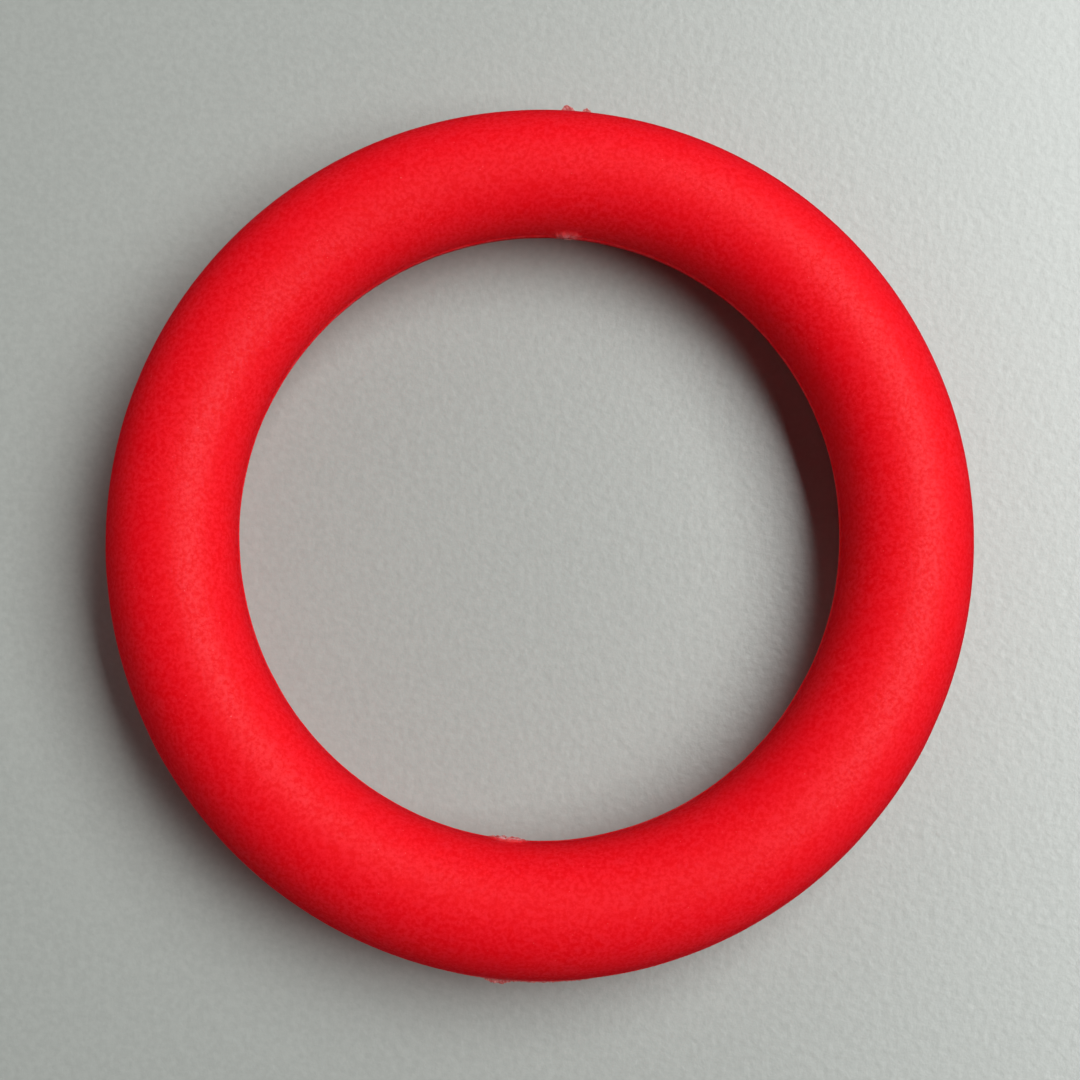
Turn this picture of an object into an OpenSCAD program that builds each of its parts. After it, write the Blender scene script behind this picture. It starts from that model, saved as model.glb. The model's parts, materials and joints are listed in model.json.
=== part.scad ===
// Juggling ring moulded in one piece from a soft red elastomer. The section is
// round, a fine parting ridge runs round the outside and round the hole, and
// torn flash is left where the mould's runner crossed the ring.
// Millimetres. +Z is the ring's own axis and +Y the far side. The origin is at
// the centre of the hole, on the plane where the two halves of the mould met.

/* [Ring] */
// Outside diameter, over the parting ridge
outside_d = 65; // [50:1:90]
// Thickness of the ring from its hole to its outside, over both ridges
section_w = 10; // [7:0.5:14]

/* [Parting ridge] */
// How far the ridge stands off the round section
ridge_h = 0.1; // [0.05:0.01:0.2]
// Width of the ridge across its flat crest
crest_w = 0.2; // [0.15:0.01:0.3]
// Width of the ridge where it leaves the round section
ridge_root_w = 0.5; // [0.4:0.05:0.8]

/* [Torn flash] */
// Thickness of the flash, never more than the crest that it stands on
flash_t = 0.14; // [0.08:0.01:0.15]
// Direction of the diameter that the runner followed, from +X towards +Y
runner_angle = 85; // [0:1:180]
// How ragged the torn edge is, from 0 for a clean cut
raggedness = 0.45; // [0:0.05:0.6]
// Distance between points along the torn edge
tear_step = 0.15; // [0.1:0.01:0.3]

/* [Hidden] */

ring_color = [0.87, 0.03, 0.12];
flash_color = [0.93, 0.42, 0.42];

outside_r = outside_d / 2;
hole_r = outside_r - section_w;
middle_r = outside_r - section_w / 2;   // from the axis to the middle of the section
tube_r = section_w / 2 - ridge_h;       // radius of the round section itself

ring_fn = 240;      // facets round the ring
section_fn = 96;    // facets round the section
ridge_bury = 0.3;   // how deep a ridge starts inside the section
tear_floor = 0.03;  // least height of a flash, at its two ends

// The lobes of each flash, as [place along the edge, width, height]. Places run
// counter-clockwise seen from above, from the runner's own diameter.
outer_far_lobes = [[0.8, 1.1, 0.66], [-0.7, 0.8, 0.38], [0, 2.6, 0.12]];
inner_far_lobes = [[0, 1.5, 0.08], [-0.2, 0.8, 0.12]];
inner_near_lobes = [[-0.4, 3.0, 0.11], [0.1, 1.2, 0.14]];
outer_near_lobes = [[-0.35, 2.2, 0.32], [-0.8, 0.7, 0.4], [3.0, 8.0, 0.1]];

// ---- the ring ----

// One ridge, from inside the section out to its flat crest. Way is 1 for the
// ridge round the outside and -1 for the one round the hole.
module parting_ridge(way) {
    root_r = middle_r + way * (tube_r - ridge_bury);
    crest_r = middle_r + way * (tube_r + ridge_h);
    rotate_extrude($fn = ring_fn)
        polygon([
            [root_r, -ridge_root_w / 2],
            [crest_r, -crest_w / 2],
            [crest_r, crest_w / 2],
            [root_r, ridge_root_w / 2]
        ]);
}

module round_body() {
    rotate_extrude($fn = ring_fn)
        translate([middle_r, 0])
            circle(r = tube_r, $fn = section_fn);
}

module ring() {
    color(ring_color)
        union() {
            round_body();
            parting_ridge(1);
            parting_ridge(-1);
        }
}

// ---- torn flash ----

// How high one lobe stands at a place along the edge: half an ellipse
function lobe_h(lobe, place) =
    lobe[2] * sqrt(max(0, 1 - pow((place - lobe[0]) / (lobe[1] / 2), 2)));

// The torn edge: the highest lobe at a place, bitten back by the tear
function tear_h(lobes, place, bite) =
    max(tear_floor, max([for (lobe = lobes) lobe_h(lobe, place)]) * (1 - raggedness * bite));

// A point of the outline, at a place along the edge and a height off a crest of radius r
function crest_point(r, way, place, height) =
    let (angle = place / r * 180 / PI)
    (r + way * height) * [cos(angle), sin(angle)];

// The flat web that one spot keeps, on the runner's diameter at the given angle.
// Its root follows the crest of radius r, so the two meet face to face, and its
// torn edge stands off it. Way is 1 outside the ring and -1 in its hole.
module flash_web(angle, r, way, lobes, seed) {
    first = min([for (lobe = lobes) lobe[0] - lobe[1] / 2]);
    last = max([for (lobe = lobes) lobe[0] + lobe[1] / 2]);
    steps = ceil((last - first) / tear_step);
    places = [for (i = [0:steps]) first + (last - first) * i / steps];
    bites = rands(0, 1, steps + 1, seed);
    torn = [for (i = [0:steps]) crest_point(r, way, places[i], tear_h(lobes, places[i], bites[i]))];
    root = [for (i = [steps:-1:0]) crest_point(r, way, places[i], 0)];
    color(flash_color)
        rotate(angle)
            translate([0, 0, -flash_t / 2])
                linear_extrude(flash_t)
                    polygon(concat(torn, root));
}

module outer_flash_far() {
    flash_web(runner_angle, outside_r, 1, outer_far_lobes, 11);
}

module inner_flash_far() {
    flash_web(runner_angle, hole_r, -1, inner_far_lobes, 23);
}

module inner_flash_near() {
    flash_web(runner_angle + 180, hole_r, -1, inner_near_lobes, 37);
}

module outer_flash_near() {
    flash_web(runner_angle + 180, outside_r, 1, outer_near_lobes, 41);
}

ring();
outer_flash_far();
inner_flash_far();
inner_flash_near();
outer_flash_near();
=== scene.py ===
"""Looks of the moulded juggling ring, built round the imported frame.

Everything is in metres, in the frame's axes: +Z is the ring's own axis, +Y the far side.
"""

import json
import math

import bpy
import numpy as np
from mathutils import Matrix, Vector, noise


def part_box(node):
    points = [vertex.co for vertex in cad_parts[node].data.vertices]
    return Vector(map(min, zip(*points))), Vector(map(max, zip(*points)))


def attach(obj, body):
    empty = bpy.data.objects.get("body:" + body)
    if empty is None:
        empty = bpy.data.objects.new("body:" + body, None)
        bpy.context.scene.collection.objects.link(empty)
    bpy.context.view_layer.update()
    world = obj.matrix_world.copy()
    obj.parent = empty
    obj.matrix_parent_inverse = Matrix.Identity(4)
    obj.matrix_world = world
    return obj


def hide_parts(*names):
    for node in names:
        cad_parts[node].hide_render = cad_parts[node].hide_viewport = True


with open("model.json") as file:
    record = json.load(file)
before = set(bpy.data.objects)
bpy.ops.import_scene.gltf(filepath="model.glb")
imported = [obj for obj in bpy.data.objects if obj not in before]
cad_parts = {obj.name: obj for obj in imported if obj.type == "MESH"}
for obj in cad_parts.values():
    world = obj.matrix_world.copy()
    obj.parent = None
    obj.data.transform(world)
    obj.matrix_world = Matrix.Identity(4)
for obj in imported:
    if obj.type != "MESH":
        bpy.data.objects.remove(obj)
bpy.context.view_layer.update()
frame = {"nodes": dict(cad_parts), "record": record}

MM = 0.001

# ---- sizes taken from the frame ----

ring_low, ring_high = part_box("ring")
hole_mount = next(m for m in frame["record"]["mounts"] if m["name"] == "hole")
CREST_OUT = ring_high.x                                  # radius over the outer parting ridge
CREST_IN = hole_mount["dims"]["r_mm"] * MM               # radius inside the inner parting ridge
TUBE_R = ring_high.z                                     # radius of the round section
MIDDLE_R = (CREST_OUT + CREST_IN) / 2                    # from the axis to the middle of the section
RIDGE_H = (CREST_OUT - CREST_IN) / 2 - TUBE_R
RIDGE_CREST_W = hole_mount["dims"]["length_mm"] * MM     # flat crest of each ridge
RIDGE_ROOT_W = 0.5 * MM                                  # width of a ridge where it leaves the section
CONTACT_FLAT = 0.012 * MM                                # how far the section is pressed flat on the table
FLOOR_Z = ring_low.z + CONTACT_FLAT

# ---- what a soft moulding does to the perfect shape ----

OVAL = 0.16 * MM            # its radius is this much larger along the runner's diameter, smaller across it
OVAL_ANGLE = math.radians(85)
THREE_LOBE = 0.05 * MM      # and slightly three-cornered
THREE_LOBE_ANGLE = math.radians(43)
SECTION_TAPER = 0.014       # the far side is thinner by this share, the near side thicker
MISMATCH = 0.03 * MM        # the upper half of the mould sat this far off the lower half
SWELL = 0.012 * MM          # slow swells and sinks of the moulded skin
SWELL_LENGTH = 9 * MM
RIDGE_MEAN = 0.8            # the ridge's mean height as a share of the CAD's, and how far it wanders
RIDGE_WANDER = 0.35
RIDGE_WANDER_LENGTH = 6 * MM

# ---- mesh density ----

STEP_ROUND = 0.6            # degrees between sections of the ring
FINE_STEP = 0.12            # and near the torn flash
FINE_REACH = 6              # degrees on each side of the runner's diameter
SKIN_ROWS = 48              # across each half of the section, from one ridge to the other
RIDGE_ROWS = 10             # rows across each ridge


def smooth(low, high, x):
    """0 at low, 1 at high, a smooth change between them, and held at both ends."""
    t = np.clip((x - low) / (high - low), 0, 1)
    return t * t * (3 - 2 * t)


def noise_at(points, length, seed, octaves=3):
    """Smooth noise of that wavelength at each point, about -1 to 1."""
    offset = Vector((seed * 17.3, seed * 5.1, seed * 11.7))
    values = []
    for p in points:
        values.append(noise.fractal(Vector(p) / length + offset, 1.0, 2.0, octaves))
    return np.array(values)


def middle_radius(angle):
    """From the ring's axis to the middle of the section."""
    return (
        MIDDLE_R
        + OVAL * np.cos(2 * (angle - OVAL_ANGLE))
        + THREE_LOBE * np.cos(3 * (angle - THREE_LOBE_ANGLE))
    )


def tube_radius(angle):
    return TUBE_R * (1 - SECTION_TAPER * np.sin(angle))


def ridge_height(angle):
    """The ridge's own height, which wanders along the ring."""
    circle = np.stack([np.cos(angle), np.sin(angle), 0 * angle], -1) * MIDDLE_R
    wander = noise_at(circle, RIDGE_WANDER_LENGTH, 3)
    return RIDGE_H * (RIDGE_MEAN + RIDGE_WANDER * wander)


def crest_radius(angle, way):
    """Radius of the ridge's crest: way is 1 for the outside, -1 in the hole."""
    return middle_radius(angle) + way * (tube_radius(angle) + ridge_height(angle))


# ---- meshes ----

def mesh_object(name, points, faces, uv=None):
    mesh = bpy.data.meshes.new(name)
    mesh.from_pydata([tuple(p) for p in points], [], [tuple(int(i) for i in f) for f in faces])
    mesh.validate()
    mesh.shade_smooth()
    if uv is not None:
        layer = mesh.uv_layers.new(name="UVMap")
        layer.data.foreach_set("uv", np.asarray(uv, np.float32).ravel())
    obj = bpy.data.objects.new(name, mesh)
    bpy.context.scene.collection.objects.link(obj)
    return obj


def add_attribute(obj, name, values):
    attribute = obj.data.attributes.new(name, "FLOAT", "POINT")
    attribute.data.foreach_set("value", np.asarray(values, np.float32))


def ring_angles():
    """Angles round the ring, closer together where the runner crossed it."""
    coarse = np.arange(0, 360, STEP_ROUND)
    fine = np.arange(-FINE_REACH, FINE_REACH, FINE_STEP)
    runner = math.degrees(OVAL_ANGLE)
    both = np.concatenate([coarse, runner + fine, runner + 180 + fine])
    return np.radians(np.unique(np.round(both, 3)))


def section_angles():
    """Angles round the section: the outer ridge, over the top, the inner ridge and back underneath.
    Rows lie closest together at the ridges."""
    edge = 0.7 * RIDGE_ROOT_W / TUBE_R
    across_ridge = np.linspace(-edge, edge, RIDGE_ROWS, endpoint=False)
    t = np.linspace(0, 1, SKIN_ROWS, endpoint=False)
    spread = t - 0.75 * np.sin(2 * math.pi * t) / (2 * math.pi)
    over_skin = edge + (math.pi - 2 * edge) * spread
    half_turn = np.concatenate([across_ridge, over_skin])
    return np.concatenate([half_turn, half_turn + math.pi])


def ridge_profile(height_off_equator):
    """1 on the ridge's crest, 0 past its root."""
    return 1 - smooth(RIDGE_CREST_W / 2, RIDGE_ROOT_W / 2, np.abs(height_off_equator))


def ring_points(angle, section):
    """The moulded surface at angles round the ring and round the section, as arrays of one shape."""
    tube = tube_radius(angle)
    off_equator = tube * np.sin(section)
    tube = tube + ridge_height(angle) * ridge_profile(off_equator)
    upper = smooth(-0.02 * MM, 0.02 * MM, off_equator)
    shift = MISMATCH * (upper - 0.5)
    radius = middle_radius(angle) + tube * np.cos(section)
    x = radius * np.cos(angle) + shift
    y = radius * np.sin(angle) - 0.5 * shift
    z = tube * np.sin(section)
    return np.stack([x, y, z], -1)


def skin_normal(angle, section):
    return np.stack([np.cos(section) * np.cos(angle), np.cos(section) * np.sin(angle), np.sin(section)], -1)


def build_ring():
    around = ring_angles()
    across = section_angles()
    angle, section = (a.ravel() for a in np.meshgrid(around, across, indexing="ij"))
    steps, rows = len(around), len(across)
    points = ring_points(angle, section)
    normal = skin_normal(angle, section)
    torn, white, ledge = tear_marks(points)
    swell = SWELL * noise_at(points, SWELL_LENGTH, 1, 2)
    rough = noise_at(points, TEAR_LENGTH, 7, 3)
    pits = TEAR_RELIEF * torn * rough
    proud = SCAR_LEDGE * ledge * (1 + 0.4 * rough)
    points = points + normal * (swell + pits + proud)[:, None]
    points[:, 2] = np.maximum(points[:, 2], FLOOR_Z)

    i, j = (a.ravel() for a in np.meshgrid(np.arange(steps), np.arange(rows), indexing="ij"))
    next_i, next_j = (i + 1) % steps, (j + 1) % rows
    faces = np.stack([i * rows + j, next_i * rows + j, next_i * rows + next_j, i * rows + next_j], -1)
    u0, u1, v0, v1 = i / steps, (i + 1) / steps, j / rows, (j + 1) / rows
    uv = np.stack([u0, v0, u1, v0, u1, v1, u0, v1], -1).reshape(-1, 2)
    ring = mesh_object("ring_moulding", points, faces, uv)
    add_attribute(ring, "torn", torn)
    add_attribute(ring, "whitened_and_highlit", white)
    add_attribute(ring, "ridge", ridge_profile(tube_radius(angle) * np.sin(section)))
    return ring


# ---- torn flash ----

FLASH = {                   # 1 for flash on the outside, -1 for flash in the hole
    "outer_flash_far": 1,
    "inner_flash_far": -1,
    "inner_flash_near": -1,
    "outer_flash_near": 1,
}
FLASH_STEP = 0.03 * MM      # between points along the torn edge
FLASH_ROWS = 9              # from the root to the torn edge
FLASH_ROOT_T = 0.15 * MM
FLASH_EDGE_T = 0.03 * MM
FLASH_BURY = 0.12 * MM      # how deep the root starts inside the ridge
FLASH_CURL = 0.07 * MM      # how far the torn edge strays up or down
FLASH_LIFT = 0.12 * MM      # how far it is bent upwards on the whole
FLASH_STANDS = {            # torn tips stand this many times as far off as the CAD's plain web
    1: 1.25,
    -1: 1.9,
}
FLASH_LEAST = 0.02 * MM     # least height of a torn edge
FLASH_END_SHARE = 0.12      # each end tapers over this share of the flash's length
TEAR_TEETH = 0.16 * MM      # wavelength of the ragged edge
CURL_LENGTH = 0.5 * MM
ROUGH_LENGTH = 0.1 * MM
TALL_SHARE = 0.55           # a flash is tall where it is over this share of its greatest height
SCAR_SHARE = 0.2            # a scar's half length: this share of the flash's length and a margin
SCAR_MARGIN = 1.0 * MM
SCAR_RAGGED_LENGTH = 0.4 * MM
SCAR_HALF_H = 0.45 * MM     # half height of the scars on the outside
SCAR_TOP = 1.3 * MM         # in the hole the tear ran this far up the wall from the parting plane
SCAR_LEDGE = 0.22 * MM      # and ends in a ledge that stands this far off the wall
SCAR_LEDGE_Z = 0.42 * MM    # height of the ledge's edge
# The white at each ledge's edge is partly the tear's whitening and partly a painted highlight: the near
# scar's large share is mostly painted highlight, the shaded far scar gets little
SCAR_WHITE_AND_HIGHLIGHT = {              # how white the ledge's edge is
    "inner_flash_far": 0.28,
    "inner_flash_near": 1.0,
}
TEAR_RELIEF = 0.03 * MM     # depth of the torn texture
TEAR_LENGTH = 0.3 * MM


def flash_outline(node, way):
    """The CAD flash's torn edge: angles along the ring and heights off the crest."""
    corners = np.array([v.co for v in frame["nodes"][node].data.vertices])
    corners = corners[corners[:, 2] > 0]
    radius = np.hypot(corners[:, 0], corners[:, 1])
    crest = CREST_OUT if way > 0 else CREST_IN
    height = way * (radius - crest)
    edge = height > 0.01 * MM
    angle = np.arctan2(corners[edge, 1], corners[edge, 0])
    order = np.argsort(angle)
    return angle[order], height[edge][order]


def tear_marks(points):
    """What the tear did to the skin at the root of each flash, as three values from 0 to 1 per point:
    how torn it is, how white it is from the tear's whitening and a painted highlight, and how far the ledge
    stands off the wall."""
    angle = np.arctan2(points[:, 1], points[:, 0])
    radius = np.hypot(points[:, 0], points[:, 1])
    up = points[:, 2]
    ragged = noise_at(points, SCAR_RAGGED_LENGTH, 9, 3)
    torn, white, ledge = np.zeros((3, len(points)))
    for node, way in FLASH.items():
        edge_angle, height = flash_outline(node, way)
        tall = edge_angle[height > TALL_SHARE * height.max()]
        half_arc = SCAR_SHARE * (edge_angle[-1] - edge_angle[0]) + SCAR_MARGIN / CREST_IN
        along = np.abs(angle - (tall[0] + tall[-1]) / 2) / half_arc + 0.25 * ragged
        beside = way * (radius - MIDDLE_R) > 0
        if way > 0:
            near = 1 - smooth(0.6, 1.1, np.hypot(along, up / SCAR_HALF_H))
            torn = np.maximum(torn, near * beside)
            continue
        sides = (1 - smooth(0.35, 1.0, along)) * beside
        top = SCAR_TOP * (1 - 0.45 * np.minimum(along, 1.2) ** 2)
        slope = smooth(top, SCAR_LEDGE_Z, up) * smooth(0.0, SCAR_LEDGE_Z, up)
        ledge = np.maximum(ledge, sides * slope)
        torn = np.maximum(torn, sides * smooth(1.05 * top, 0.6 * top, up) * smooth(-0.3 * MM, 0.1 * MM, up))
        # White along the ledge's edge: tear whitening, with a painted highlight that makes the near scar
        # whiter
        edge = (1 - smooth(0.3, 0.65, along)) * beside * smooth(0.5, 0.9, slope)
        white = np.maximum(white, SCAR_WHITE_AND_HIGHLIGHT[node] * edge)
    return torn, white, ledge


def web_faces(count, way):
    """Faces of a closed web: top and bottom grids of count by FLASH_ROWS points, and the rim between."""
    below = count * FLASH_ROWS
    faces = []
    for i in range(count - 1):
        for j in range(FLASH_ROWS - 1):
            p, q = i * FLASH_ROWS + j, (i + 1) * FLASH_ROWS + j
            quad = [p, q, q + 1, p + 1]
            faces.append(quad)
            faces.append([k + below for k in reversed(quad)])
        for j in (0, FLASH_ROWS - 1):
            p, q = i * FLASH_ROWS + j, (i + 1) * FLASH_ROWS + j
            faces.append([p, p + below, q + below, q] if j == 0 else [q, q + below, p + below, p])
    for i in (0, count - 1):
        for j in range(FLASH_ROWS - 1):
            p, q = i * FLASH_ROWS + j, i * FLASH_ROWS + j + 1
            faces.append([q, q + below, p + below, p] if i == 0 else [p, p + below, q + below, q])
    if way > 0:
        faces = [list(reversed(f)) for f in faces]
    return faces


def build_flash(node, way, seed):
    """A torn web on the ridge's crest: thick at its root, ragged and feathered at its edge."""
    edge_angle, edge_height = flash_outline(node, way)
    crest = CREST_OUT if way > 0 else CREST_IN
    count = int((edge_angle[-1] - edge_angle[0]) * crest / FLASH_STEP)
    angle = np.linspace(edge_angle[0], edge_angle[-1], count)
    height = np.interp(angle, edge_angle, edge_height)
    root_r = crest_radius(angle, way)
    line = np.stack([np.cos(angle), np.sin(angle), 0 * angle], -1) * crest
    ragged = noise_at(line, TEAR_TEETH, seed, 4)
    height = np.maximum(FLASH_STANDS[way] * height * (1 + 0.35 * ragged), FLASH_LEAST)
    place = np.linspace(0, 1, count)
    ends = smooth(0, FLASH_END_SHARE, place) * smooth(0, FLASH_END_SHARE, 1 - place)
    height = height * (0.25 + 0.75 * ends)

    rows = np.linspace(0, 1, FLASH_ROWS)
    a, t = (m.ravel() for m in np.meshgrid(angle, rows, indexing="ij"))
    h, r0 = np.repeat(height, FLASH_ROWS), np.repeat(root_r, FLASH_ROWS)
    radius = r0 + way * (t * (h + FLASH_BURY) - FLASH_BURY)
    flat = np.stack([radius * np.cos(a), radius * np.sin(a), 0 * a], -1)
    stray = FLASH_CURL * noise_at(flat, CURL_LENGTH, seed + 1, 3)
    curl = (FLASH_LIFT * h / height.max() + stray) * t * t
    rough = noise_at(flat, ROUGH_LENGTH, seed + 2, 3)
    half_t = (FLASH_ROOT_T + (FLASH_EDGE_T - FLASH_ROOT_T) * t ** 0.7) / 2 * (1 + 0.3 * rough * t)
    half_t = half_t * (0.4 + 0.6 * np.repeat(ends, FLASH_ROWS))
    top, bottom = flat.copy(), flat.copy()
    top[:, 2] = curl + half_t
    bottom[:, 2] = curl - half_t
    points = np.concatenate([top, bottom])

    flash = mesh_object(node + "_torn", points, web_faces(count, way))
    add_attribute(flash, "torn", np.concatenate([t, t]))
    return flash


# ---- materials ----

def new_material(name):
    material = bpy.data.materials.new(name)
    material.use_nodes = True
    nodes = material.node_tree.nodes
    nodes.clear()
    output = nodes.new("ShaderNodeOutputMaterial")
    shader = nodes.new("ShaderNodeBsdfPrincipled")
    material.node_tree.links.new(shader.outputs["BSDF"], output.inputs["Surface"])
    return material, shader


class Graph:
    """Short ways to add nodes to one material."""

    def __init__(self, material):
        self.tree = material.node_tree
        self.place = self.add("ShaderNodeTexCoord").outputs["Object"]

    def add(self, kind, **settings):
        node = self.tree.nodes.new(kind)
        for key, value in settings.items():
            setattr(node, key, value)
        return node

    def link(self, source, target):
        self.tree.links.new(source, target)

    def noise(self, length, detail=2.0, roughness=0.5, offset=(0, 0, 0)):
        """Noise of that wavelength in metres, as a value from 0 to 1."""
        mapping = self.add("ShaderNodeMapping")
        mapping.inputs["Location"].default_value = offset
        mapping.inputs["Scale"].default_value = (1 / length,) * 3
        self.link(self.place, mapping.inputs["Vector"])
        texture = self.add("ShaderNodeTexNoise")
        texture.inputs["Scale"].default_value = 1.0
        texture.inputs["Detail"].default_value = detail
        texture.inputs["Roughness"].default_value = roughness
        self.link(mapping.outputs["Vector"], texture.inputs["Vector"])
        return texture.outputs["Fac"]

    def specks(self, spacing, radius, offset=(0, 0, 0)):
        """1 inside sparse round specks, 0 elsewhere."""
        mapping = self.add("ShaderNodeMapping")
        mapping.inputs["Location"].default_value = offset
        mapping.inputs["Scale"].default_value = (1 / spacing,) * 3
        self.link(self.place, mapping.inputs["Vector"])
        cells = self.add("ShaderNodeTexVoronoi")
        cells.inputs["Scale"].default_value = 1.0
        cells.inputs["Randomness"].default_value = 1.0
        self.link(mapping.outputs["Vector"], cells.inputs["Vector"])
        return self.ramp(cells.outputs["Distance"], radius / spacing, 0.4 * radius / spacing)

    def ramp(self, value, low, high, out_low=0.0, out_high=1.0):
        """Maps a value from low..high to out_low..out_high, smoothly and held at both ends."""
        node = self.add("ShaderNodeMapRange", interpolation_type="SMOOTHSTEP", clamp=True)
        node.inputs["From Min"].default_value = low
        node.inputs["From Max"].default_value = high
        node.inputs["To Min"].default_value = out_low
        node.inputs["To Max"].default_value = out_high
        self.link(value, node.inputs["Value"])
        return node.outputs["Result"]

    def math(self, operation, a, b):
        node = self.add("ShaderNodeMath", operation=operation)
        for socket, value in zip(node.inputs, (a, b)):
            if isinstance(value, (int, float)):
                socket.default_value = value
            else:
                self.link(value, socket)
        return node.outputs["Value"]

    def mix(self, factor, a, b):
        """Colour a where factor is 0, b where it is 1."""
        node = self.add("ShaderNodeMix", data_type="RGBA")
        for socket, value in ((node.inputs[6], a), (node.inputs[7], b)):
            if isinstance(value, tuple):
                socket.default_value = (*value, 1)
            else:
                self.link(value, socket)
        if isinstance(factor, (int, float)):
            node.inputs["Factor"].default_value = factor
        else:
            self.link(factor, node.inputs["Factor"])
        return node.outputs[2]

    def attribute(self, name):
        return self.add("ShaderNodeAttribute", attribute_name=name).outputs["Fac"]

    def bump(self, height, distance, below=None):
        node = self.add("ShaderNodeBump")
        node.inputs["Distance"].default_value = distance
        self.link(height, node.inputs["Height"])
        if below is not None:
            self.link(below, node.inputs["Normal"])
        return node.outputs["Normal"]


# Linear colours
RED = (0.92, 0.0008, 0.010)
RED_DEEP = (0.875, 0.0001, 0.005)
RED_PALE = (0.965, 0.013, 0.026)
TORN_RED = (1.0, 0.07, 0.08)
# The tear's whitened colour, also used as a painted highlight on the near scar
TORN_WHITE_AND_HIGHLIGHT = (1.0, 0.55, 0.57)
DUST = (0.95, 0.34, 0.34)
# The next two colours are the flash's reds, darkened as painted shade; the paler one also serves as painted
# light at the thin edge
FLASH_SHADED_RED = (0.34, 0.045, 0.045)
FLASH_SHADED_PALE = (0.52, 0.21, 0.20)
FLOOR_DARK = (0.317, 0.326, 0.305)
FLOOR_LIGHT = (0.346, 0.356, 0.333)


def elastomer():
    """Red silicone rubber: a matte, faintly mottled skin with fine grain, dust, worn ridges and scars.
    The coat's grey tint stands for the way the rubber darkens where it turns edge-on."""
    material, shader = new_material("red_silicone")
    g = Graph(material)
    mottle = g.noise(0.32 * MM, 3.0, 0.7)
    cloud = g.noise(5 * MM, 2.0, 0.5, (3, 1, 7))
    color = g.mix(g.ramp(mottle, 0.36, 0.64), RED_DEEP, RED_PALE)
    color = g.mix(g.ramp(cloud, 0.3, 0.7, 0.0, 0.3), color, RED)
    dusty = g.ramp(cloud, 0.42, 0.6, 0.0, 0.3)
    coarse_dust = g.math("MULTIPLY", g.specks(2.4 * MM, 0.085 * MM), dusty)
    fine_dust = g.math("MULTIPLY", g.specks(0.9 * MM, 0.05 * MM, (4, 4, 4)), 0.2)
    color = g.mix(g.math("MAXIMUM", coarse_dust, fine_dust), color, DUST)
    worn = g.ramp(g.noise(0.7 * MM, 3.0, 0.7, (1, 6, 2)), 0.38, 0.62, 0.1, 0.7)
    wear = g.math("MULTIPLY", g.attribute("ridge"), worn)
    color = g.mix(wear, color, TORN_RED)
    tear_noise = g.noise(0.3 * MM, 3.0, 0.7, (5, 5, 5))
    tear = g.math("MULTIPLY", g.attribute("torn"), g.ramp(tear_noise, 0.3, 0.5, 0.5, 1.0))
    # The scars' white ledge edges: the tear's whitening with a painted highlight on top
    whitened_and_highlit = g.math("MULTIPLY", g.attribute("whitened_and_highlit"), g.ramp(tear_noise, 0.4, 0.55, 0.4, 1.0))
    color = g.mix(whitened_and_highlit, g.mix(tear, color, TORN_RED), TORN_WHITE_AND_HIGHLIGHT)
    g.link(color, shader.inputs["Base Color"])
    g.link(g.ramp(mottle, 0.36, 0.64, 0.60, 0.46), shader.inputs["Roughness"])
    shader.inputs["Specular IOR Level"].default_value = 0.21
    shader.inputs["IOR"].default_value = 1.43
    shader.inputs["Coat Weight"].default_value = 0.4
    shader.inputs["Coat IOR"].default_value = 1.03
    shader.inputs["Coat Roughness"].default_value = 1.0
    shader.inputs["Coat Tint"].default_value = (0.5, 0.5, 0.5, 1)
    shader.inputs["Subsurface Weight"].default_value = 0.7
    shader.inputs["Subsurface Radius"].default_value = (1.0, 0.1, 0.08)
    shader.inputs["Subsurface Scale"].default_value = 1.5 * MM
    grain = g.bump(g.noise(0.14 * MM, 2.0, 0.6, (9, 2, 4)), 0.008 * MM)
    relief = g.bump(mottle, 0.02 * MM, grain)
    g.link(g.bump(tear, 0.03 * MM, relief), shader.inputs["Normal"])
    return material


def torn_rubber():
    """Torn flash: thin and translucent. Its reds are darkened as painted shade, darkest at the root.
    Towards the thin torn edge it turns paler, partly from the tear's whitening and partly as painted light
    shining through the edge.
    """
    material, shader = new_material("torn_silicone")
    g = Graph(material)
    whitening = g.ramp(g.noise(0.14 * MM, 3.0, 0.7), 0.38, 0.66)
    # Paler towards the torn edge: the noise is the tear's whitening, while the rise from root to edge is
    # painted shade at the root and painted light through the thin edge
    pale = g.math("MULTIPLY", whitening, g.ramp(g.attribute("torn"), 0.1, 0.8, 0.3, 1.0))
    g.link(g.mix(pale, FLASH_SHADED_RED, FLASH_SHADED_PALE), shader.inputs["Base Color"])
    shader.inputs["Roughness"].default_value = 0.7
    shader.inputs["Subsurface Weight"].default_value = 0.4
    shader.inputs["Subsurface Radius"].default_value = (1.0, 0.4, 0.3)
    shader.inputs["Subsurface Scale"].default_value = 0.3 * MM
    g.link(g.bump(g.noise(0.06 * MM, 2.0, 0.6), 0.02 * MM), shader.inputs["Normal"])
    return material


def floor_paint():
    """A plain pale grey tabletop with a faint satin unevenness."""
    material, shader = new_material("pale_floor")
    g = Graph(material)
    grain = g.noise(0.5 * MM, 3.0, 0.6, (2, 8, 3))
    g.link(g.mix(g.ramp(grain, 0.3, 0.7), FLOOR_DARK, FLOOR_LIGHT), shader.inputs["Base Color"])
    shader.inputs["Roughness"].default_value = 0.42
    shader.inputs["Specular IOR Level"].default_value = 1.0
    g.link(g.bump(g.noise(0.7 * MM, 3.0, 0.55, (7, 7, 1)), 0.03 * MM), shader.inputs["Normal"])
    return material


# ---- build ----

ring = build_ring()
ring.data.materials.append(elastomer())
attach(ring, "root")
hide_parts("ring")

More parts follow.
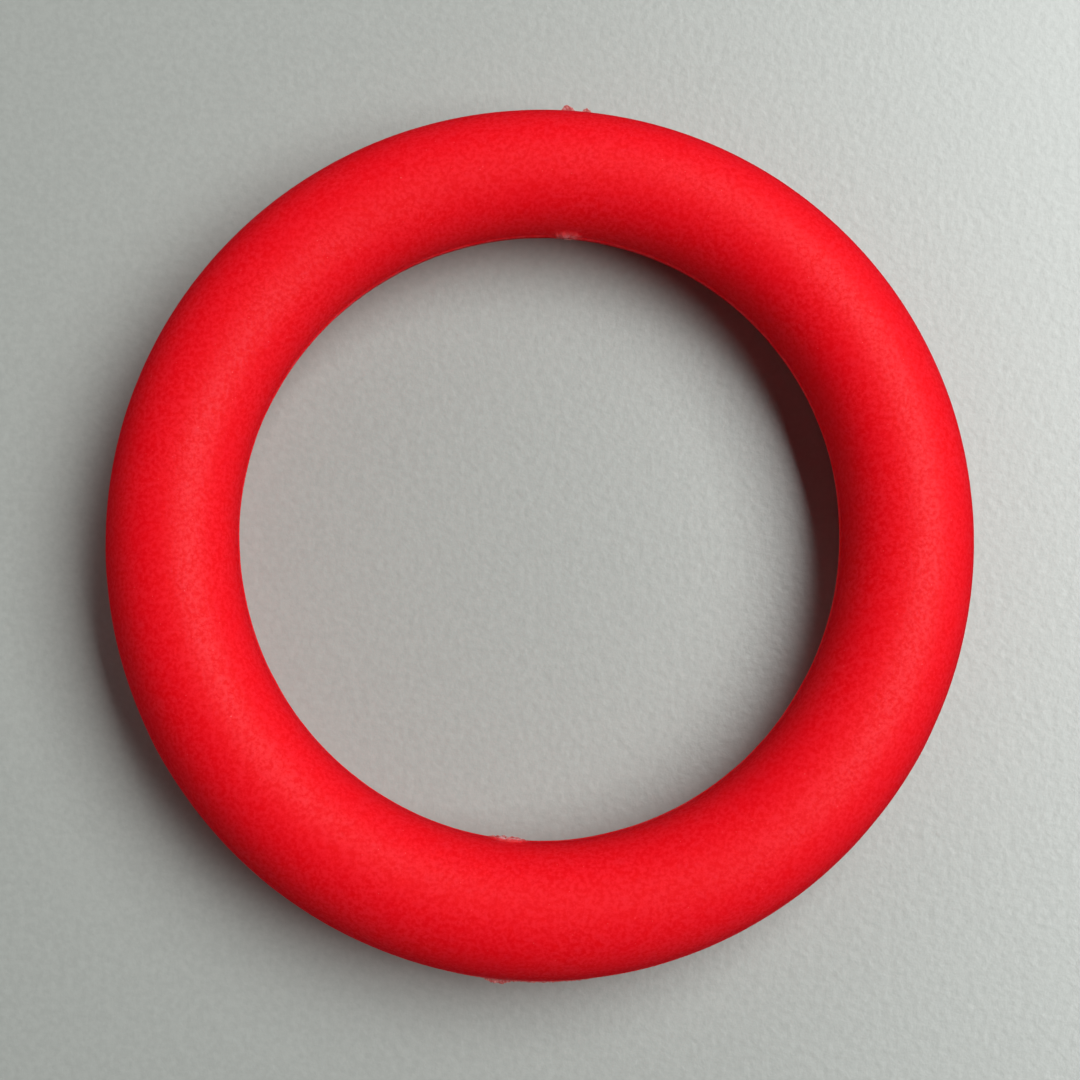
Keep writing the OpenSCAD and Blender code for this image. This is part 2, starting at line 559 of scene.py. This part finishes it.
torn = torn_rubber()
for seed, (node, way) in enumerate(FLASH.items(), start=20):
    flash = build_flash(node, way, seed)
    flash.data.materials.append(torn)
    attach(flash, "root")
    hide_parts(node)

# ---- stage ----

FLOOR_HALF = 0.5
BACKDROP = (0.40, 0.41, 0.40)
LIGHT_DISTANCE = 0.6

CAMERA_HEIGHT = 160 * MM
CAMERA_BACK = 21.1 * MM     # how far in front of the ring's axis it stands
CAMERA_TILT = 7.35          # degrees from straight down
CAMERA_LENS = 72.2


def build_floor():
    """A flat table, left out of the ring's gloss so that the shaded reds stay deep."""
    h = FLOOR_HALF
    corners = [(-h, -h), (h, -h), (h, h), (-h, h)]
    floor = mesh_object("floor", [(x, y, FLOOR_Z) for x, y in corners], [(0, 1, 2, 3)])
    floor.data.materials.append(floor_paint())
    floor.visible_glossy = False


def add_softbox(name, azimuth, elevation, width, height, power, tint=(1, 1, 1)):
    """An area light aimed at the ring. Azimuth 0 is over the near side, 90 over the right."""
    data = bpy.data.lights.new(name, "AREA")
    data.shape = "RECTANGLE"
    data.size = width
    data.size_y = height
    data.energy = power
    data.color = tint
    light = bpy.data.objects.new(name, data)
    a, e = math.radians(azimuth), math.radians(elevation)
    back = Vector((math.sin(a) * math.cos(e), -math.cos(a) * math.cos(e), math.sin(e)))
    light.location = back * LIGHT_DISTANCE
    light.rotation_mode = "QUATERNION"
    light.rotation_quaternion = (-back).to_track_quat("-Z", "Y")
    bpy.context.scene.collection.objects.link(light)
    return light


def add_lights():
    """One large window at the right, and weak low fills that give no highlight of their own."""
    add_softbox("window", 106, 55, 0.7, 0.35, 6.2, (0.97, 1.0, 1.0))
    fills = (
        ("fill_near", 335, 8, 0.8),
        ("fill_left", 270, 8, 0.6),
        ("fill_left_far", 225, 8, 0.7),
        ("fill_far", 180, 25, 0.4),
    )
    for name, azimuth, elevation, power in fills:
        fill = add_softbox(name, azimuth, elevation, 0.45, 0.25, power)
        fill.visible_glossy = False


def add_backdrop():
    """A plain pale background behind the table, seen by the camera and giving no light."""
    world = bpy.data.worlds.new("backdrop")
    bpy.context.scene.world = world
    world.use_nodes = True
    background = world.node_tree.nodes["Background"]
    background.inputs["Color"].default_value = (*BACKDROP, 1)
    background.inputs["Strength"].default_value = 1.0
    world.cycles_visibility.diffuse = False
    world.cycles_visibility.glossy = False
    world.cycles_visibility.transmission = False
    world.cycles_visibility.scatter = False


def add_camera():
    """A close-up camera over the near side of the ring, tipped a few degrees from straight down."""
    data = bpy.data.cameras.new("camera")
    data.sensor_width = 36
    data.lens = CAMERA_LENS
    data.clip_start = 0.01
    data.clip_end = 10
    camera = bpy.data.objects.new("camera", data)
    camera.location = (0, -CAMERA_BACK, CAMERA_HEIGHT)
    tilt = math.radians(CAMERA_TILT)
    camera.rotation_mode = "QUATERNION"
    camera.rotation_quaternion = Vector((0, math.sin(tilt), -math.cos(tilt))).to_track_quat("-Z", "Y")
    bpy.context.scene.collection.objects.link(camera)
    bpy.context.scene.camera = camera


build_floor()
add_camera()
add_lights()
add_backdrop()
bpy.context.scene.view_settings.view_transform = "Standard"
